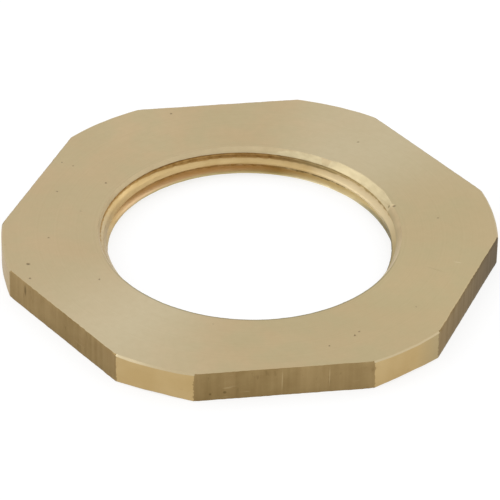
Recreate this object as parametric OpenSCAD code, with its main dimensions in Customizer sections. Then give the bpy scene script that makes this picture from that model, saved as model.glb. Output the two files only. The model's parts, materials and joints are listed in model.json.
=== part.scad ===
// Brass lock nut for a pipe thread: a flat ring parted from hexagonal bar.
// The six corners are turned round, both faces are faced flat, and the bore
// carries a right-hand parallel pipe thread. Units are millimetres.
// The bottom face lies on z = 0, and the thread's axis is the z axis.

/* [Thread] */
// Diameter at the root of the thread groove
thread_major_d = 53.746; // [40:0.001:70]
// Distance from one turn of the thread to the next
thread_pitch = 2.309; // [1.5:0.001:3]
// Angle between the two flanks of the thread
flank_angle = 55; // [50:1:60]
// How far the bore is opened past the thread's basic crests, on the radius
bore_allowance = 0; // [0:0.01:0.3]
// Azimuth at which the middle of the groove crosses the bottom face
thread_azimuth = 134; // [0:1:359]

/* [Ring] */
// Width of the ring from the root of the thread to a flat
ring_width = 14.627; // [8:0.001:25]
// How far the turned corners stand out past the flats, on the radius
corner_rise = 2.85; // [0.5:0.05:5]
// Thickness of the nut from face to face
thickness = 5.7; // [3:0.1:15]
// Width of the 45 degree chamfer along the top edge of a turned corner
top_corner_chamfer = 0.3; // [0.1:0.05:1]
// Width of the 45 degree chamfer along the bottom edge of a turned corner
bottom_corner_chamfer = 0.35; // [0.1:0.05:1]

/* [Bore mouths] */
// How far the top mouth opens past the bore, on the radius
top_mouth_width = 1.75; // [0.3:0.05:2.5]
// How deep the top mouth reaches below the top face
top_mouth_depth = 2.5; // [0.3:0.05:2.9]
// How far the bottom mouth opens past the bore, on the radius
bottom_mouth_width = 1.3; // [0.1:0.05:1.5]
// How deep the bottom mouth reaches above the bottom face
bottom_mouth_depth = 0.95; // [0.1:0.05:1.2]

/* [Smoothness] */
// Number of straight steps in one turn of the thread groove
steps_per_turn = 72; // [48:12:96]

/* [Hidden] */
bar_sides = 6;
circle_steps = 180;
// A cutter runs this far past the surface that it cuts
cut_past = 0.2;
major_r = thread_major_d / 2;
flat_r = major_r + ring_width;
corner_r = flat_r / cos(180 / bar_sides);
turned_r = flat_r + corner_rise;
// The thread's form is a triangle with a sixth of its height cut off at each end
triangle_h = thread_pitch / 2 / tan(flank_angle / 2);
thread_depth = triangle_h * 2 / 3;
minor_r = major_r - thread_depth + bore_allowance;
// Half the height of the groove at its root, and at the cutter's inner edge
root_half = thread_pitch / 12;
groove_inner_r = minor_r - cut_past;
inner_half = root_half + (major_r - groove_inner_r) * tan(flank_angle / 2);
// Section of the cutter, as radius and height, about the middle of the groove
groove_section = [
    [groove_inner_r, -inner_half],
    [major_r, -root_half],
    [major_r, root_half],
    [groove_inner_r, inner_half],
];
// The groove runs on past both faces until it is clear of the nut
groove_past = inner_half + cut_past;
first_turn_angle = -groove_past / thread_pitch * 360;
turn_angles = (thickness + 2 * groove_past) / thread_pitch * 360;
groove_steps = ceil(turn_angles * steps_per_turn / 360);

// Points of one section of the groove, a number of steps on from its start
function groove_ring(i) =
    let (turned = first_turn_angle + i * 360 / steps_per_turn)
    let (azimuth = thread_azimuth + turned)
    let (height = thread_pitch * turned / 360)
    [for (p = groove_section) [p[0] * cos(azimuth), p[0] * sin(azimuth), height + p[1]]];

// The solid that the thread cutter sweeps out along its right-hand helix
module thread_groove() {
    corners = len(groove_section);
    points = [for (i = [0:groove_steps]) each groove_ring(i)];
    sides = [
        for (i = [0:groove_steps - 1], j = [0:corners - 1])
            let (a = i * corners + j)
            let (b = i * corners + (j + 1) % corners)
            each [[a, b, b + corners], [a, b + corners, a + corners]]
    ];
    start_cap = [for (j = [corners - 1:-1:0]) j];
    end_cap = [for (j = [0:corners - 1]) groove_steps * corners + j];
    polyhedron(points, concat([start_cap], sides, [end_cap]), convexity = 8);
}

// The disc that turning the corners leaves, with both its edges chamfered
module turned_disc() {
    outline = [
        [0, 0],
        [turned_r - bottom_corner_chamfer, 0],
        [turned_r, bottom_corner_chamfer],
        [turned_r, thickness - top_corner_chamfer],
        [turned_r - top_corner_chamfer, thickness],
        [0, thickness],
    ];
    rotate_extrude($fn = circle_steps) polygon(outline);
}

// The hexagonal bar, which gives the six flats and reaches past both faces
module hexagonal_bar() {
    translate([0, 0, -cut_past])
        cylinder(r = corner_r, h = thickness + 2 * cut_past, $fn = bar_sides);
}

// The bore at the crests of the thread
module bore() {
    translate([0, 0, -cut_past])
        cylinder(r = minor_r, h = thickness + 2 * cut_past, $fn = circle_steps);
}

// The flared mouth of the bore, from its small end up and out past the face
module mouth(width, depth) {
    past_width = width * cut_past / depth;
    cylinder(
        r1 = minor_r,
        r2 = minor_r + width + past_width,
        h = depth + cut_past,
        $fn = circle_steps
    );
}

module lock_nut() {
    color([0.79, 0.70, 0.50])
        difference() {
            intersection() {
                turned_disc();
                hexagonal_bar();
            }
            bore();
            translate([0, 0, thickness - top_mouth_depth])
                mouth(top_mouth_width, top_mouth_depth);
            translate([0, 0, bottom_mouth_depth])
                mirror([0, 0, 1]) mouth(bottom_mouth_width, bottom_mouth_depth);
            thread_groove();
        }
}

lock_nut();
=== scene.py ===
import json
import math

import bmesh
import bpy
from mathutils import Matrix, Vector, noise


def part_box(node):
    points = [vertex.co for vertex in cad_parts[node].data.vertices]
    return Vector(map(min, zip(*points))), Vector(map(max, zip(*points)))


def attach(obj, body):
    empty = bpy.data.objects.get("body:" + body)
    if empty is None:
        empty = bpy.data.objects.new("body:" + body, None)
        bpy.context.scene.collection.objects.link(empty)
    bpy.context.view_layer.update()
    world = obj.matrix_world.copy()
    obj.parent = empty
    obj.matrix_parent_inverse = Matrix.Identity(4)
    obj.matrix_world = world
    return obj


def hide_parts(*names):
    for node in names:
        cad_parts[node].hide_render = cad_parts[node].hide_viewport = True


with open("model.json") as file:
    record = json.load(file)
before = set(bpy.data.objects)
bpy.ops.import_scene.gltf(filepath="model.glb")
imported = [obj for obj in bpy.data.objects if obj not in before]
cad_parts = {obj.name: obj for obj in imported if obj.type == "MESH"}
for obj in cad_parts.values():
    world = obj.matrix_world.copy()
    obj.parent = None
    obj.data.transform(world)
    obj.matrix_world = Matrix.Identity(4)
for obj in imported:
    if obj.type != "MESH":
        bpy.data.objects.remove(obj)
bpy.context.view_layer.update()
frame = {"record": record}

# Sizes of the nut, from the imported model, in metres
MM = 0.001
_, high_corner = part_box("lock_nut")
THICKNESS = high_corner.z
TURNED_R = high_corner.x
FLAT_R = high_corner.y
thread_mount = next(m for m in frame["record"]["mounts"] if m["name"] == "thread")
MINOR_R = thread_mount["dims"]["r_mm"] * MM

# Sizes of the thread and its mouths, as the solid has them
MAJOR_R = 26.873 * MM
PITCH = 2.309 * MM
FLANK_SLOPE = math.tan(math.radians(55 / 2))
THREAD_AZIMUTH = 134
ROOT_HALF_WIDTH = PITCH / 12
TOP_MOUTH_WIDTH = 1.75 * MM
TOP_MOUTH_DEPTH = 2.5 * MM
BOTTOM_MOUTH_WIDTH = 1.3 * MM
BOTTOM_MOUTH_DEPTH = 0.95 * MM
RIM_R = MINOR_R + TOP_MOUTH_WIDTH
TOP_CORNER_CHAMFER = 0.3 * MM
BOTTOM_CORNER_CHAMFER = 0.35 * MM

# The hexagon, in degrees: from one flat to the next, the middle of the first flat,
# and from the middle of a flat to its end
SIDE_TURN = 60
FIRST_FLAT = 30
HALF_FLAT = math.degrees(math.acos(FLAT_R / TURNED_R))

# Wear of the edges: the bottom chamfer is wider than its size in the middle of a
# corner and narrower at its ends, and the edges of the flats have a ragged burr
BOTTOM_CHAMFER_MIDDLE = 1.4
BOTTOM_CHAMFER_END = 0.3
CHAMFER_UNEVEN = 0.25
BURR = 0.1 * MM
BURR_FINE = 0.1 * MM
BURR_BROAD = 0.06 * MM
LEAST_BURR = 0.02 * MM

# Chatter marks of the bore's wall
CHATTER_FINE = 0.03 * MM
CHATTER_BROAD = 0.035 * MM

# The thin start of the thread was dressed off by hand: a bright facet along the
# top rim that fades out at both ends, with a small nick where it begins. The places,
# the lengths of the fades and the nick's half width are in degrees
FACET_START = 10
FACET_END = 49
FACET_FADE_IN = 8
FACET_FADE_OUT = 3
FACET_WIDTH = 0.35 * MM
FACET_UNEVEN = 0.3
FACET_SLOPE = 1.1
NICK_HALF_WIDTH = 0.55
NICK_DEPTH = 0.35 * MM
NICK_SLOPE = 2

# Where the mouth's finish ends and the thread's begins: a share of the mouth's
# depth, which goes less deep round one azimuth
MOUTH_FINISH_SHARE = 0.7
MOUTH_FINISH_RISE = 0.5 * MM
MOUTH_FINISH_AZIMUTH = 175

# How finely the mesh follows the nut
STEP_DEG = 0.5
CORNER_BREAK_DEG = 0.07
CREST_ROUND = 0.3 * MM
ROOT_ROUND = 0.15 * MM
# Heights of the mesh's lines round the middle of a groove, in mm
GROOVE_LINES = [0, 0.1, 0.19, 0.28, 0.42, 0.58, 0.74, 0.85, 0.92, 0.98, 1.04, 1.1]
TOP_RINGS = 10
SIDE_ROWS = 5
BOTTOM_RINGS = 8
# Place of the middle point of a broken edge, where 0.5 makes it a flat chamfer
CHAMFER_BEND = 0.5
BURR_BEND = 0.3
MERGE_DISTANCE = 0.0004 * MM
SHARP_DEG = 24


def wobble(x, y, z, scale):
    """Smooth noise between about -1 and 1, with features of the given size in metres."""
    return noise.noise(Vector((x / scale, y / scale, z / scale)))


def flat_normal(azimuth):
    """Azimuth of the middle of the flat nearest to an azimuth, in degrees."""
    return round((azimuth - FIRST_FLAT) / SIDE_TURN) * SIDE_TURN + FIRST_FLAT


def flat_reach(azimuth):
    """Distance from the axis to the bar's flat at an azimuth."""
    return FLAT_R / math.cos(math.radians(azimuth - flat_normal(azimuth)))


def outer_reach(azimuth):
    return min(TURNED_R, flat_reach(azimuth))


def stations():
    """Azimuths of the mesh's sections, with each vertical edge slightly broken."""
    middles = range(FIRST_FLAT, 360, SIDE_TURN)
    corners = [(m + side * HALF_FLAT) % 360 for m in middles for side in (-1, 1)]
    even = [i * STEP_DEG for i in range(int(360 / STEP_DEG))]
    near = [a for a in even if min(abs(a - c) for c in corners) < 2 * CORNER_BREAK_DEG]
    kept = [a for a in even if a not in near]
    edges = [c + side * CORNER_BREAK_DEG for c in corners for side in (-1, 1)]
    return sorted(kept + edges) + [360.0]


def groove_centre(azimuth):
    """Height of one turn of the groove's middle at an azimuth."""
    return PITCH * (azimuth - THREAD_AZIMUTH) / 360


def smooth_max(a, b, width):
    """The larger of two numbers, blended where they are closer than a width."""
    blend = max(width - abs(a - b), 0) / width
    return max(a, b) + blend * blend * width / 4


def thread_reach(azimuth, z):
    """Radius of the threaded wall, with its crests and roots rounded."""
    turns = (z - groove_centre(azimuth)) / PITCH
    from_middle = abs(turns - round(turns)) * PITCH
    up_flank = smooth_max(0, from_middle - ROOT_HALF_WIDTH, ROOT_ROUND)
    return smooth_max(MAJOR_R - up_flank / FLANK_SLOPE, MINOR_R, CREST_ROUND)


def mouth_reach(z):
    """Radius of the two flared mouths at a height."""
    into_top = (z - THICKNESS + TOP_MOUTH_DEPTH) / TOP_MOUTH_DEPTH
    into_bottom = (BOTTOM_MOUTH_DEPTH - z) / BOTTOM_MOUTH_DEPTH
    return MINOR_R + max(TOP_MOUTH_WIDTH * into_top, BOTTOM_MOUTH_WIDTH * into_bottom, 0)


def facet_reach(azimuth, z):
    """Radius of the dressed facet and its nick at the top rim, or 0 away from them."""
    below = THICKNESS - z
    reach = 0
    if FACET_START <= azimuth <= FACET_END:
        width = FACET_WIDTH * (1 + FACET_UNEVEN * wobble(azimuth * MM, 0, 0, 6 * MM))
        fading_in = (azimuth - FACET_START) / FACET_FADE_IN
        fading_out = (FACET_END - azimuth) / FACET_FADE_OUT
        width *= min(1, fading_in, fading_out)
        reach = RIM_R + width - below * FACET_SLOPE
    if abs(azimuth - FACET_START) < NICK_HALF_WIDTH:
        reach = max(reach, RIM_R + NICK_DEPTH - below * NICK_SLOPE)
    return reach


def wall_reach(azimuth, z):
    """Radius of the bore's wall, with its chatter marks."""
    reach = max(thread_reach(azimuth, z), mouth_reach(z), facet_reach(azimuth, z))
    a = math.radians(azimuth)
    x, y = math.cos(a) * reach, math.sin(a) * reach
    fine = CHATTER_FINE * wobble(x, y, z * 2, 0.5 * MM)
    return reach + fine + CHATTER_BROAD * wobble(x, y, z, 1.3 * MM)


def corner_chamfer(azimuth, top):
    """Width of the chamfer on the nearest turned corner, or at that corner's end."""
    if top:
        return TOP_CORNER_CHAMFER
    corner_middle = round(azimuth / SIDE_TURN) * SIDE_TURN
    off_middle = min(abs(azimuth - corner_middle) / (SIDE_TURN / 2 - HALF_FLAT), 1)
    thinned = (BOTTOM_CHAMFER_MIDDLE - BOTTOM_CHAMFER_END) * off_middle**2
    return BOTTOM_CORNER_CHAMFER * (BOTTOM_CHAMFER_MIDDLE - thinned)


def edge_break(azimuth, top):
    """Width of the broken edge: a chamfer on the corners, a worn burr on the flats."""
    a = math.radians(azimuth)
    x, y = math.cos(a) * TURNED_R, math.sin(a) * TURNED_R
    # Far apart, so that the two edges are worn differently
    z = 0.02 if top else -0.02
    chamfer = corner_chamfer(azimuth, top)
    if flat_reach(azimuth) >= TURNED_R:
        return chamfer * (1 + CHAMFER_UNEVEN * wobble(x, y, z, 2.5 * MM))
    uneven = BURR_FINE * wobble(x, y, z, 0.8 * MM) + BURR_BROAD * wobble(x, y, z, 3 * MM)
    cone = flat_reach(azimuth) - (TURNED_R - chamfer)
    return max(BURR + uneven, LEAST_BURR, cone)


# Which finish each strip of the section has
FACED, TURNED, DRAWN, THREADED, MOUTH = range(5)


def face_rings(inner, outer, count):
    """Radii across a face, closer together near both of its edges."""
    shares = [0.5 - 0.5 * math.cos(math.pi * i / count) for i in range(count + 1)]
    return [inner + (outer - inner) * s for s in shares]


def outside_section(azimuth, rim_r, bottom_rim_r):
    """Points from the top rim out over the face, down the side and back under."""
    reach = outer_reach(azimuth)
    top, bottom = edge_break(azimuth, True), edge_break(azimuth, False)
    chamfered = flat_reach(azimuth) > TURNED_R - TOP_CORNER_CHAMFER
    bend = CHAMFER_BEND if chamfered else BURR_BEND
    points = [(r, THICKNESS) for r in face_rings(rim_r, reach - top, TOP_RINGS)[1:]]
    points.append((reach - top * bend, THICKNESS - top * bend))
    upper = THICKNESS - top
    heights = [upper + (bottom - upper) * i / SIDE_ROWS for i in range(SIDE_ROWS + 1)]
    points += [(reach, z) for z in heights]
    points.append((reach - bottom * bend, bottom * bend))
    under = face_rings(bottom_rim_r, reach - bottom, BOTTOM_RINGS)[1:]
    return points + [(r, 0) for r in reversed(under)]


def wall_section(azimuth):
    """Points up the bore's wall, on lines that follow the thread."""
    lines = sorted({s * h * MM for h in GROOVE_LINES for s in (-1, 1)} | {PITCH / 2})
    # Enough turns that each azimuth has lines past both faces, which end on the faces
    turns = range(-1, int(THICKNESS / PITCH) + 4)
    centres = [groove_centre(azimuth) + t * PITCH for t in turns]
    heights = [min(max(centre + h, 0), THICKNESS) for centre in centres for h in lines]
    return [(wall_reach(azimuth, z), z) for z in heights]


def wall_finish(azimuth, z):
    """Finish of the bore's wall at a height: its thread or its flared top mouth."""
    flared = max(mouth_reach(z), facet_reach(azimuth, z))
    toward_rise = math.cos(math.radians(azimuth - MOUTH_FINISH_AZIMUTH))
    lowest = THICKNESS - MOUTH_FINISH_SHARE * TOP_MOUTH_DEPTH
    above_crest = z > lowest + MOUTH_FINISH_RISE * max(toward_rise, 0)
    return MOUTH if above_crest and flared > thread_reach(azimuth, z) else THREADED


def section_finish(azimuth, index, outside_count, size, z):
    """Finish of the strip that follows a point of the section."""
    if outside_count - 1 < index < size - 1:
        return wall_finish(azimuth, z)
    on_corner = flat_reach(azimuth) >= TURNED_R
    top_end = TOP_RINGS + 1 if on_corner else TOP_RINGS - 1
    if index < top_end or index > outside_count - BOTTOM_RINGS - 1:
        return FACED
    return TURNED if on_corner else DRAWN


def nut_mesh():
    """A ring of sections, joined side by side, with a finish for each strip."""
    azimuths = stations()
    walls = [wall_section(azimuth) for azimuth in azimuths]
    outsides = [outside_section(a, w[-1][0], w[0][0]) for a, w in zip(azimuths, walls)]
    outside_count = len(outsides[0])
    size = outside_count + len(walls[0])
    vertices = []
    for azimuth, outside, wall in zip(azimuths, outsides, walls):
        a = math.radians(azimuth)
        vertices += [(r * math.cos(a), r * math.sin(a), z) for r, z in outside + wall]
    faces, finishes = [], []
    for i in range(len(azimuths) - 1):
        middle = (azimuths[i] + azimuths[i + 1]) / 2
        here, there = i * size, (i + 1) * size
        for j in range(size):
            k = (j + 1) % size
            faces.append((here + j, here + k, there + k, there + j))
            z = (vertices[here + j][2] + vertices[there + k][2]) / 2
            finishes.append(section_finish(middle, j, outside_count, size, z))
    mesh = bpy.data.meshes.new("nut")
    mesh.from_pydata(vertices, [], faces)
    mesh.polygons.foreach_set("material_index", finishes)
    return mesh


def build_nut():
    """The nut as one closed mesh, merged where the sections' points meet."""
    mesh = nut_mesh()
    bm = bmesh.new()
    bm.from_mesh(mesh)
    bmesh.ops.remove_doubles(bm, verts=bm.verts, dist=MERGE_DISTANCE)
    bmesh.ops.dissolve_degenerate(bm, edges=bm.edges, dist=MERGE_DISTANCE / 2)
    bmesh.ops.recalc_face_normals(bm, faces=bm.faces)
    bm.to_mesh(mesh)
    bm.free()
    mesh.shade_smooth()
    mesh.set_sharp_from_angle(angle=math.radians(SHARP_DEG))
    nut = bpy.data.objects.new("nut", mesh)
    bpy.context.scene.collection.objects.link(nut)
    return nut


class Nodes:
    """A short way to write a material's nodes."""

    def __init__(self, name):
        self.material = bpy.data.materials.new(name)
        self.material.use_nodes = True
        self.tree = self.material.node_tree
        self.shader = self.tree.nodes["Principled BSDF"]
        self.place = self.add("ShaderNodeTexCoord").outputs["Object"]

    def add(self, kind, **settings):
        node = self.tree.nodes.new(kind)
        for key, value in settings.items():
            setattr(node, key, value)
        return node

    def link(self, source, target):
        self.tree.links.new(source, target)

    def noise(self, scale, detail=4, roughness=0.55):
        """Noise with a scale of its own along each axis, in waves per metre."""
        mapping = self.add("ShaderNodeMapping")
        mapping.inputs["Scale"].default_value = scale
        self.link(self.place, mapping.inputs["Vector"])
        node = self.add("ShaderNodeTexNoise")
        for name, value in (("Scale", 1), ("Detail", detail), ("Roughness", roughness)):
            node.inputs[name].default_value = value
        self.link(mapping.outputs["Vector"], node.inputs["Vector"])
        return node.outputs["Fac"]

    def ramp(self, value, stops):
        node = self.add("ShaderNodeValToRGB")
        elements = node.color_ramp.elements
        while len(elements) < len(stops):
            elements.new(0.5)
        for element, (position, color) in zip(elements, stops):
            element.position = position
            element.color = (*color, 1)
        self.link(value, node.inputs["Fac"])
        return node.outputs["Color"]

    def to_range(self, value, from_low, from_high, low, high):
        node = self.add("ShaderNodeMapRange")
        names = ("From Min", "From Max", "To Min", "To Max")
        for name, number in zip(names, (from_low, from_high, low, high)):
            node.inputs[name].default_value = number
        self.link(value, node.inputs["Value"])
        return node.outputs["Result"]

    def mix(self, share, first, second):
        node = self.add("ShaderNodeMix", data_type="RGBA")
        for name, value in (("Factor", share), ("A", first), ("B", second)):
            socket = next(s for s in node.inputs if s.name == name and s.enabled)
            if hasattr(value, "is_linked"):
                self.link(value, socket)
            elif name == "Factor":
                socket.default_value = value
            else:
                socket.default_value = (*value, 1)
        return next(s for s in node.outputs if s.enabled)

    def math(self, operation, first, second):
        node = self.add("ShaderNodeMath", operation=operation)
        for socket, value in zip(node.inputs, (first, second)):
            if hasattr(value, "is_linked"):
                self.link(value, socket)
            else:
                socket.default_value = value
        return node.outputs[0]

    def times(self, first, second):
        return self.math("MULTIPLY", first, second)

    def bump(self, height, distance, strength):
        node = self.add("ShaderNodeBump")
        node.inputs["Strength"].default_value = strength
        node.inputs["Distance"].default_value = distance
        self.link(height, node.inputs["Height"])
        return node.outputs["Normal"]

    def metal(self, color, normal, roughness=None):
        """The finished material, as bare metal."""
        self.link(color, self.shader.inputs["Base Color"])
        self.link(normal, self.shader.inputs["Normal"])
        if roughness:
            self.link(roughness, self.shader.inputs["Roughness"])
        self.shader.inputs["Metallic"].default_value = 1
        return self.material


def axes(n):
    """The X, Y and Z of a point, in metres."""
    split = n.add("ShaderNodeSeparateXYZ")
    n.link(n.place, split.inputs[0])
    return split.outputs


def round_distance(n):
    """Distance from the thread's axis, for marks that run round it."""
    flatten = n.add("ShaderNodeVectorMath", operation="MULTIPLY")
    flatten.inputs[1].default_value = (1, 1, 0)
    n.link(n.place, flatten.inputs[0])
    length = n.add("ShaderNodeVectorMath", operation="LENGTH")
    n.link(flatten.outputs["Vector"], length.inputs[0])
    return length.outputs["Value"]


def along_rings(n, density):
    """Noise that is the same all the way round, so it draws fine turning rings."""
    node = n.add("ShaderNodeTexNoise", noise_dimensions="1D")
    node.inputs["Scale"].default_value = density
    node.inputs["Detail"].default_value = 3
    n.link(round_distance(n), node.inputs["W"])
    return node.outputs["Fac"]


def azimuth_of(n):
    x, y, _ = axes(n)
    return n.math("ARCTAN2", y, x)


def toward(n, azimuth):
    """1 at an azimuth in degrees, falling to -1 on the other side of the axis."""
    return n.math("COSINE", n.math("SUBTRACT", azimuth_of(n), math.radians(azimuth)), 0)


def sector(n, azimuth, outer, inner, share=1):
    """A share round an azimuth that fades out between two limits, given as cosines."""
    return n.to_range(toward(n, azimuth), outer, inner, 0, share)


def ragged(n, value, size):
    """A noise's value as an unevenness of the given size, in metres."""
    return n.times(n.math("SUBTRACT", value, 0.5), size)


def strongest(n, marks):
    most = marks[0]
    for other in marks[1:]:
        most = n.math("MAXIMUM", most, other)
    return most


# Colours in linear RGB that more than one finish has
IN_PIT = (0.16, 0.11, 0.05)
# The colour of painted shade lines along the thread's near edges
PAINTED_SHADE_LINE = (0.16, 0.15, 0.09)

# Small pits and dents: x, y, depth under the top face and radius, in mm
PITS = [
    (26.15, 5.35, 0.67, 0.34),
    (26.9, 4.5, 0, 0.42),
    (-40.3, -5.7, 0, 0.42),
    (-40.4, -10.1, 0, 0.3),
    (-10.4, -27.4, 0, 0.22),
    (25.4, -26.6, 0, 0.2),
    (8.5, -36.1, 0, 0.2),
    (-28.4, -11.8, 0, 0.24),
    (23.9, 25.9, 0, 0.24),
    (-32.9, 16.3, 0, 0.26),
    (-35.9, 2.0, 0, 0.24),
    (-9.1, 39.4, 0, 0.3),
    (-31.0, 25.6, 0, 0.2),
    (-23.8, 18.0, 0, 0.26),
    (13.4, -33.6, 0, 0.26),
    (14.3, -32.6, 0, 0.3),
    (-29.1, 24.2, 0, 0.18),
    (-29.3, 9.6, 0, 0.17),
    (34.1, -0.2, 0, 0.18),
    (-43.8, 0.6, 0, 0.2),
]
PIT_RAGGED = 0.6 * MM
PIT_SHARE = 0.75


def pits(n):
    """1 in the middle of each pit, falling to 0 at its ragged edge."""
    uneven = ragged(n, n.noise((2500, 2500, 2500)), PIT_RAGGED)
    found = []
    for x, y, depth, radius in PITS:
        away = n.add("ShaderNodeVectorMath", operation="DISTANCE")
        n.link(n.place, away.inputs[0])
        away.inputs[1].default_value = (x * MM, y * MM, THICKNESS - depth * MM)
        edge = n.math("ADD", away.outputs["Value"], uneven)
        found.append(n.to_range(edge, 0.3 * radius * MM, radius * MM, 1, 0))
    return strongest(n, found)


# Scratches and dark gashes of the flats: middle x, y, z, half length along X and half
# height, in mm. Those of the top face: middle x and y, half length and half width in
# mm, and the angle in degrees
PALE_FLAT_MARKS = [
    (-9.8, -41.5, 2.4, 0.9, 0.14),
    (-0.4, -41.5, 3.1, 0.12, 2.2),
    (7.8, -41.5, 3.3, 0.12, 2.2),
]
DARK_FLAT_MARKS = [
    (-10.3, -41.5, 1.5, 0.35, 0.3),
    (-12.8, -41.5, 1.3, 0.25, 0.25),
    (-41.4, -11.3, 4.0, 0.16, 1.2),
]
PALE_FACE_MARK = (35.1, -14.2, 0.8, 0.12, -20)
DARK_FACE_MARK = (30.7, -15.8, 1.9, 0.16, -37)
# Each mark is an oval that cuts through the surface. This is its half size along Y on
# a flat, and along Z on the face, in mm
FLAT_MARK_REACH = 10
FACE_MARK_REACH = 1


def mark(n, place, angle, size):
    """1 in the middle of an oval mark, falling to 0 at its edge."""
    shrink = n.add("ShaderNodeMapping", vector_type="TEXTURE")
    shrink.inputs["Location"].default_value = [v * MM for v in place]
    shrink.inputs["Rotation"].default_value = (0, 0, math.radians(angle))
    shrink.inputs["Scale"].default_value = [v * MM for v in size]
    n.link(n.place, shrink.inputs["Vector"])
    length = n.add("ShaderNodeVectorMath", operation="LENGTH")
    n.link(shrink.outputs["Vector"], length.inputs[0])
    return n.to_range(length.outputs["Value"], 0.5, 1.1, 1, 0)


def flat_marks(n, rows):
    marks = []
    for x, y, z, half_length, half_height in rows:
        marks.append(mark(n, (x, y, z), 0, (half_length, FLAT_MARK_REACH, half_height)))
    return strongest(n, marks)


def face_mark(n, row):
    x, y, half_length, half_width, angle = row
    size = (half_length, half_width, FACE_MARK_REACH)
    return mark(n, (x, y, THICKNESS / MM), angle, size)


def face_tones(n, fine):
    """The faces' colour: cloudy, with a painted sheen in two opposite sectors and painted
    shade in two others.
    """
    clouds = n.noise((70, 70, 70), detail=3)
    base = n.ramp(clouds, [(0.35, (0.52, 0.41, 0.235)), (0.65, (0.565, 0.447, 0.265))])
    tint = n.noise((130, 130, 130), detail=4)
    warm = n.ramp(tint, [(0.4, (0.57, 0.43, 0.25)), (0.6, (0.515, 0.43, 0.25))])
    color = n.mix(0.55, base, warm)
    # The cosine of twice the angle is above 0 in two opposite sectors, which get a painted
    # sheen that stands for the turning rings' reflection
    turned = n.times(n.math("SUBTRACT", azimuth_of(n), math.radians(42)), 2)
    both = n.math("POWER", n.math("MAXIMUM", n.math("COSINE", turned, 0), 0), 2.5)
    pale = n.times(both, n.to_range(clouds, 0.3, 0.7, 0.75, 1))
    color = n.mix(pale, color, (0.595, 0.506, 0.334))
    color = n.mix(n.to_range(fine, 0.35, 0.75, 0, 0.12), color, (0.40, 0.31, 0.17))
    # Painted shade darkens two other sectors of the faces
    color = n.mix(sector(n, -25, 0.1, 0.9, 0.35), color, (0.43, 0.355, 0.185))
    return n.mix(sector(n, 170, 0.6, 0.95, 0.3), color, (0.46, 0.355, 0.205))


def face_edges(n, color):
    """A painted shade line along the near part of the rim, and a painted highlight on a
    chamfer.
    """
    away = round_distance(n)
    # Painted shade: a dark line along the near part of the rim
    rim_shade = n.to_range(away, RIM_R + 0.05 * MM, RIM_R + 0.35 * MM, 1, 0)
    color = n.mix(n.times(rim_shade, sector(n, -95, 0.2, 0.7, 0.8)), color, (0.2, 0.18, 0.1))
    # Painted highlight along the top chamfer of the front right corner
    chamfer_highlight = n.to_range(away, TURNED_R - 0.3 * MM, TURNED_R - 0.2 * MM, 0, 0.7)
    return n.mix(n.times(chamfer_highlight, sector(n, -60, 0.95, 0.97)), color, (0.62, 0.51, 0.32))


def faced_brass():
    """The faced faces: satin, with fine turning rings, small pits and two scratches."""
    n = Nodes("faced_brass")
    fine = n.noise((700, 700, 700), detail=4)
    color = face_edges(n, face_tones(n, fine))
    dark = n.times(face_mark(n, DARK_FACE_MARK), 0.22)
    color = n.mix(dark, color, (0.3, 0.24, 0.12))
    bright = n.times(face_mark(n, PALE_FACE_MARK), 0.35)
    color = n.mix(bright, color, (0.75, 0.66, 0.45))
    pitted = pits(n)
    color = n.mix(n.times(pitted, PIT_SHARE), color, IN_PIT)
    rings = along_rings(n, 2600)
    height = n.math("ADD", n.times(rings, 0.15), n.times(fine, 0.5))
    sunk = n.math("SUBTRACT", height, n.times(pitted, 4))
    # The rings spread the reflections across them
    tangent = n.add("ShaderNodeTangent", direction_type="RADIAL", axis="Z")
    n.link(tangent.outputs["Tangent"], n.shader.inputs["Tangent"])
    n.shader.inputs["Anisotropic"].default_value = 0.6
    n.shader.inputs["Anisotropic Rotation"].default_value = 0.25
    normal = n.bump(sunk, 0.03 * MM, 0.35)
    return n.metal(color, normal, n.to_range(rings, 0.3, 0.7, 0.38, 0.44))


def turned_brass():
    """The turned corners: bright and smooth, with fine lines that run round."""
    n = Nodes("turned_brass")
    patches = n.noise((120, 120, 120), detail=3)
    color = n.ramp(patches, [(0.35, (0.50, 0.355, 0.16)), (0.65, (0.545, 0.40, 0.195))])
    stains = n.noise((400, 400, 400), detail=5)
    color = n.mix(n.to_range(stains, 0.6, 0.75, 0, 0.35), color, (0.36, 0.22, 0.09))
    color = n.mix(sector(n, -45, 0.975, 0.995, 0.6), color, (0.40, 0.33, 0.19))
    # The cut of the flats has left a ragged dark edge on the turned corners, here
    # measured in radians past the end of the flat
    from_first = n.math("SUBTRACT", azimuth_of(n), math.radians(FIRST_FLAT))
    from_flat = n.math("PINGPONG", from_first, math.radians(SIDE_TURN / 2))
    past_edge = n.math("SUBTRACT", from_flat, math.radians(HALF_FLAT))
    torn = n.noise((250, 250, 1500), detail=2)
    reach = n.to_range(torn, 0.4, 0.7, 0, math.radians(0.4))
    edge = n.to_range(n.math("SUBTRACT", reach, past_edge), -0.0005, 0.0005, 0, 0.6)
    color = n.mix(edge, color, (0.2, 0.13, 0.05))
    lines = n.noise((60, 60, 5200), detail=3)
    n.shader.inputs["Specular Tint"].default_value = (0.8, 0.78, 0.74, 1)
    normal = n.bump(lines, 0.02 * MM, 0.4)
    return n.metal(color, normal, n.to_range(lines, 0.3, 0.7, 0.28, 0.38))


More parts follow.
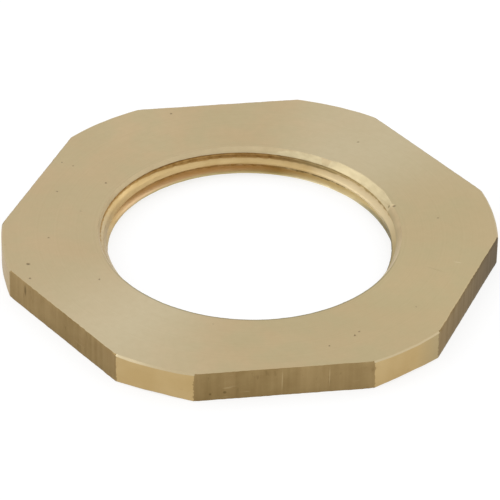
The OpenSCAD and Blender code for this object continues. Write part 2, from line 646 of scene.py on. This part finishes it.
def bar_tones(n, streaks, blotches):
    """The drawn bar's colour: upright streaks and spots, darker toward the bottom."""
    wide = n.noise((190, 190, 25), detail=2)
    fine = n.ramp(streaks, [(0.35, (0.262, 0.178, 0.069)), (0.65, (0.395, 0.28, 0.127))])
    broad = n.ramp(wide, [(0.35, (0.235, 0.16, 0.06)), (0.65, (0.405, 0.285, 0.135))])
    spots = n.ramp(blotches, [(0.35, (0.275, 0.185, 0.08)), (0.65, (0.35, 0.25, 0.115))])
    color = n.mix(0.5, n.mix(0.5, fine, broad), spots)
    return n.mix(n.to_range(axes(n)["Z"], 0, THICKNESS, 0.35, 0), color, (0.21, 0.14, 0.05))


def drawn_brass():
    """The flats: darker, with upright streaks from the drawn bar, nicks, scratches and
    painted shade.
    """
    n = Nodes("drawn_brass")
    streaks = n.noise((900, 900, 45), detail=4, roughness=0.5)
    blotches = n.noise((330, 330, 330), detail=4)
    color = bar_tones(n, streaks, blotches)
    scratches = n.noise((260, 260, 2600), detail=2)
    color = n.mix(n.to_range(scratches, 0.68, 0.78, 0, 0.5), color, (0.42, 0.32, 0.17))
    # Painted shade darkens the right flat along its length,
    # Painted shade on the right flat
    right_flat_shade = n.to_range(axes(n)["Y"], -36 * MM, -8 * MM, 0.05, 0.92)
    color = n.mix(n.times(sector(n, -30, 0.8, 0.93), right_flat_shade), color, (0.10, 0.072, 0.04))
    # and two stretches of the near flats are warmer
    warmest = n.math("MAXIMUM", toward(n, -171), toward(n, -72))
    color = n.mix(n.to_range(warmest, 0.96, 0.995, 0, 0.26), color, (0.43, 0.31, 0.15))
    nicks = n.to_range(n.noise((800, 800, 350), detail=3), 0.62, 0.72, 0, 0.45)
    dark = n.math("MAXIMUM", nicks, flat_marks(n, DARK_FLAT_MARKS))
    color = n.mix(n.times(dark, 0.7), color, (0.13, 0.085, 0.03))
    pale = n.times(flat_marks(n, PALE_FLAT_MARKS), 0.5)
    color = n.mix(pale, color, (0.50, 0.38, 0.2))
    n.shader.inputs["Specular Tint"].default_value = (0.88, 0.83, 0.76, 1)
    rough = n.math("ADD", n.times(streaks, 0.5), n.times(blotches, 0.5))
    normal = n.bump(rough, 0.05 * MM, 0.5)
    return n.metal(color, normal, n.to_range(streaks, 0.3, 0.7, 0.55, 0.45))


def flank_tones(n, height):
    """The thread's flanks, whose colour differs with height and round the bore, with
    painted light and painted shade.
    """
    lower_flank = n.to_range(height, 1.7 * MM, 2.2 * MM, 1, 0)
    patches = n.noise((300, 300, 700), detail=4)
    color = n.ramp(patches, [(0.35, (0.55, 0.39, 0.175)), (0.65, (0.61, 0.445, 0.215))])
    # Painted light brightens the lower flank toward the back
    lower_back_light = n.times(lower_flank, sector(n, 112, 0.75, 0.9, 0.8))
    color = n.mix(lower_back_light, color, (0.78, 0.56, 0.33))
    # Painted shade darkens the lowest part of the thread
    lowest = n.to_range(height, 1.15 * MM, 1.4 * MM, 0.8, 0)
    color = n.mix(lowest, color, (0.45, 0.375, 0.17))
    # Painted light on the right side of the thread
    color = n.mix(sector(n, 22, 0.8, 0.96, 0.75), color, (0.74, 0.62, 0.40))
    # Painted light brightens the lower flank on the right
    right_flank_light = n.times(lower_flank, sector(n, 40, 0.87, 0.95, 0.85))
    color = n.mix(right_flank_light, color, (0.86, 0.76, 0.49))
    # Painted highlight: paler on the left side of the thread
    return n.mix(sector(n, 190, 0.8, 0.92, 0.8), color, (0.56, 0.46, 0.29))


def painted_root_shade(n, shade_noise, height):
    """Painted shade in the thread's root: how much of it there is, and its colour."""
    olive_side = sector(n, 38, 0.8, 0.95, 0.8)
    lower_root = n.to_range(height, 2.3 * MM, 2.6 * MM, 1, 0)
    dark = n.ramp(shade_noise, [(0.35, (0.30, 0.165, 0.045)), (0.65, (0.44, 0.27, 0.095))])
    dark = n.mix(olive_side, dark, (0.36, 0.28, 0.135))
    dark = n.mix(n.times(olive_side, lower_root), dark, (0.2, 0.145, 0.055))
    # In the upper turn the painted shade reaches out of the root at the back
    back_shade = n.to_range(toward(n, 85), 0.7, 0.95, 0.2, 1)
    shade_growth = n.times(n.to_range(height, 2.6 * MM, 2.8 * MM, 0, 0.5 * MM), back_shade)
    uneven = ragged(n, shade_noise, 0.6 * MM)
    depth = n.math("ADD", n.math("ADD", round_distance(n), uneven), shade_growth)
    return n.to_range(depth, MINOR_R + 1.25 * MM, MINOR_R + 1.45 * MM, 0, 1), dark


def threaded_brass():
    """The thread: flanks with painted light and shade, painted shade in the root, and
    painted shade lines along its near edges.
    """
    n = Nodes("threaded_brass")
    height = axes(n)["Z"]
    shade_noise = n.noise((900, 900, 900), detail=4)
    root_shade_share, dark = painted_root_shade(n, shade_noise, height)
    # Painted shade fills the thread's root
    color = n.mix(root_shade_share, flank_tones(n, height), dark)
    # Painted shade on the near side of the bore's wall
    color = n.mix(sector(n, -70, 0.1, 0.6, 0.85), color, (0.40, 0.325, 0.175))
    away = round_distance(n)
    # Painted shade line along the crest on the near side
    crest_shade = n.to_range(away, MINOR_R + 0.05 * MM, MINOR_R + 0.25 * MM, 0.8, 0)
    color = n.mix(n.times(crest_shade, sector(n, -60, 0.25, 0.45)), color, PAINTED_SHADE_LINE)
    # Painted shade line at the bottom of the thread on the near right
    bottom_shade = n.to_range(height, 0.9 * MM, 1.15 * MM, 0.7, 0)
    color = n.mix(n.times(bottom_shade, sector(n, -30, 0.4, 0.6)), color, PAINTED_SHADE_LINE)
    lines = n.noise((150, 150, 6000), detail=3)
    chatter = n.noise((1300, 1300, 900), detail=2)
    uneven = n.math("ADD", n.times(lines, 0.4), chatter)
    normal = n.bump(uneven, 0.04 * MM, 0.5)
    return n.metal(color, normal, n.to_range(lines, 0.3, 0.7, 0.38, 0.5))


# Outer edge of the dressed band in the mouth, which is dressed metal with a painted
# highlight, along the quarter turn from +X to +Y: share of the turn, and share of the way
# from the least radius to the greatest
DRESSED_HIGHLIGHT_LEAST_R = 24 * MM
DRESSED_HIGHLIGHT_GREATEST_R = 28 * MM
DRESSED_HIGHLIGHT_EDGE = [
    (0.10, 0),
    (0.125, 1),
    (0.53, 1),
    (0.545, 0.6),
    (0.575, 0.6),
    (0.59, 0.84),
    (0.75, 0.74),
    (0.93, 0.45),
    (0.98, 0),
]


def mouth_brass():
    """The flared mouth: like the face, with painted shade toward the bore, and dressed
    bright with a painted highlight where the thread starts.
    """
    n = Nodes("mouth_brass")
    away = round_distance(n)
    patches = n.noise((260, 260, 260))
    outer = n.ramp(patches, [(0.35, (0.57, 0.46, 0.28)), (0.65, (0.62, 0.505, 0.31))])
    # The inner part is darker toward the bore: painted shade
    inner = n.ramp(patches, [(0.35, (0.40, 0.335, 0.19)), (0.65, (0.44, 0.365, 0.21))])
    plain = n.mix(n.to_range(away, 25.8 * MM, 26.8 * MM, 0, 1), inner, outer)
    strokes = n.noise((500, 500, 1500), detail=3)
    # The dressed band's colour: partly dressed metal, partly a painted highlight
    bright = n.ramp(strokes, [(0.35, (0.605, 0.51, 0.315)), (0.65, (0.68, 0.58, 0.365))])
    turn = n.to_range(azimuth_of(n), 0, math.pi / 2, 0, 1)
    edge = n.ramp(turn, [(share, (out, out, out)) for share, out in DRESSED_HIGHLIGHT_EDGE])
    edge_r = n.to_range(edge, 0, 1, DRESSED_HIGHLIGHT_LEAST_R, DRESSED_HIGHLIGHT_GREATEST_R)
    uneven_r = n.math("ADD", edge_r, ragged(n, strokes, 0.5 * MM))
    inside = n.math("SUBTRACT", uneven_r, away)
    color = n.mix(n.to_range(inside, -0.1 * MM, 0.1 * MM, 0, 1), plain, bright)
    color = n.mix(n.times(pits(n), PIT_SHARE), color, IN_PIT)
    n.shader.inputs["Roughness"].default_value = 0.52
    return n.metal(color, n.bump(strokes, 0.03 * MM, 0.4))


def make_floor():
    """A white floor, which the camera and the metal see as the white background.

    It is clear from below, so that the underside can be looked at.
    """
    bpy.ops.mesh.primitive_plane_add(size=4, location=(0, 0, -0.02 * MM))
    floor = bpy.context.object
    floor.name = "floor"
    n = Nodes("floor")
    n.shader.inputs["Base Color"].default_value = (0.85, 0.85, 0.85, 1)
    n.shader.inputs["Roughness"].default_value = 1
    n.shader.inputs["Specular IOR Level"].default_value = 0
    path = n.add("ShaderNodeLightPath").outputs
    straight = n.math("MAXIMUM", path["Is Camera Ray"], path["Is Glossy Ray"])
    seen = n.math("MAXIMUM", straight, path["Is Transmission Ray"])
    paper = n.add("ShaderNodeBsdfDiffuse")
    paper.inputs["Color"].default_value = (0.26, 0.26, 0.26, 1)
    glow = n.add("ShaderNodeEmission")
    glow.inputs["Strength"].default_value = 0.77
    backdrop = n.add("ShaderNodeAddShader")
    n.link(paper.outputs[0], backdrop.inputs[0])
    n.link(glow.outputs[0], backdrop.inputs[1])
    either = n.add("ShaderNodeMixShader")
    n.link(seen, either.inputs[0])
    n.link(n.shader.outputs[0], either.inputs[1])
    n.link(backdrop.outputs[0], either.inputs[2])
    one_sided = n.add("ShaderNodeMixShader")
    n.link(n.add("ShaderNodeNewGeometry").outputs["Backfacing"], one_sided.inputs[0])
    n.link(either.outputs[0], one_sided.inputs[1])
    n.link(n.add("ShaderNodeBsdfTransparent").outputs[0], one_sided.inputs[2])
    n.link(one_sided.outputs[0], n.tree.nodes["Material Output"].inputs["Surface"])
    floor.data.materials.append(n.material)


def make_world():
    """An even white studio all round."""
    world = bpy.data.worlds.new("studio")
    bpy.context.scene.world = world
    world.use_nodes = True
    background = world.node_tree.nodes["Background"]
    background.inputs["Color"].default_value = (1, 1, 1, 1)
    background.inputs["Strength"].default_value = 1.0


def area_light(name, place, size, watts):
    """A square lamp that faces the nut."""
    data = bpy.data.lights.new(name, "AREA")
    data.size = size
    data.energy = watts
    light = bpy.data.objects.new(name, data)
    bpy.context.scene.collection.objects.link(light)
    light.location = place
    light.rotation_euler = (-Vector(place)).to_track_quat("-Z", "Y").to_euler()


# The camera's place about the middle of the top face, from the photograph's
# perspective, with its angles in degrees, and where that middle lies in the picture
CAMERA_AZIMUTH = -98.95
CAMERA_ELEVATION = 34.755
CAMERA_ROLL = 1.221
CAMERA_DISTANCE = 16.369 * TURNED_R
FOCAL_PIXELS = 4064.6
IMAGE_PIXELS = 500
NUT_CENTRE_X = 249.92
NUT_CENTRE_Y = 230.22


def make_camera():
    azimuth, elevation = math.radians(CAMERA_AZIMUTH), math.radians(CAMERA_ELEVATION)
    aim = Vector((0, 0, THICKNESS))
    back = Vector(
        (
            math.cos(azimuth) * math.cos(elevation),
            math.sin(azimuth) * math.cos(elevation),
            math.sin(elevation),
        )
    )
    level = Vector((0, 0, 1)).cross(back).normalized()
    up = back.cross(level)
    basis = Matrix((level, up, back)).transposed()
    basis = basis @ Matrix.Rotation(math.radians(CAMERA_ROLL), 3, "Z")
    data = bpy.data.cameras.new("camera")
    camera = bpy.data.objects.new("camera", data)
    bpy.context.scene.collection.objects.link(camera)
    camera.matrix_world = Matrix.Translation(aim + back * CAMERA_DISTANCE) @ basis.to_4x4()
    data.sensor_width = 36
    data.lens = FOCAL_PIXELS / IMAGE_PIXELS * data.sensor_width
    data.shift_x = 0.5 - NUT_CENTRE_X / IMAGE_PIXELS
    data.shift_y = NUT_CENTRE_Y / IMAGE_PIXELS - 0.5
    data.clip_end = 10
    bpy.context.scene.camera = camera


make_camera()
nut = build_nut()
for finish in (faced_brass, turned_brass, drawn_brass, threaded_brass, mouth_brass):
    nut.data.materials.append(finish())
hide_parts("lock_nut")
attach(nut, "root")

make_floor()
make_world()
area_light("left_softbox", (-0.63, 0.0, 0.49), 0.45, 0.8)
area_light("right_softbox", (0.475, 0.31, 0.565), 0.22, 0.24)
bpy.context.scene.view_settings.view_transform = "Standard"
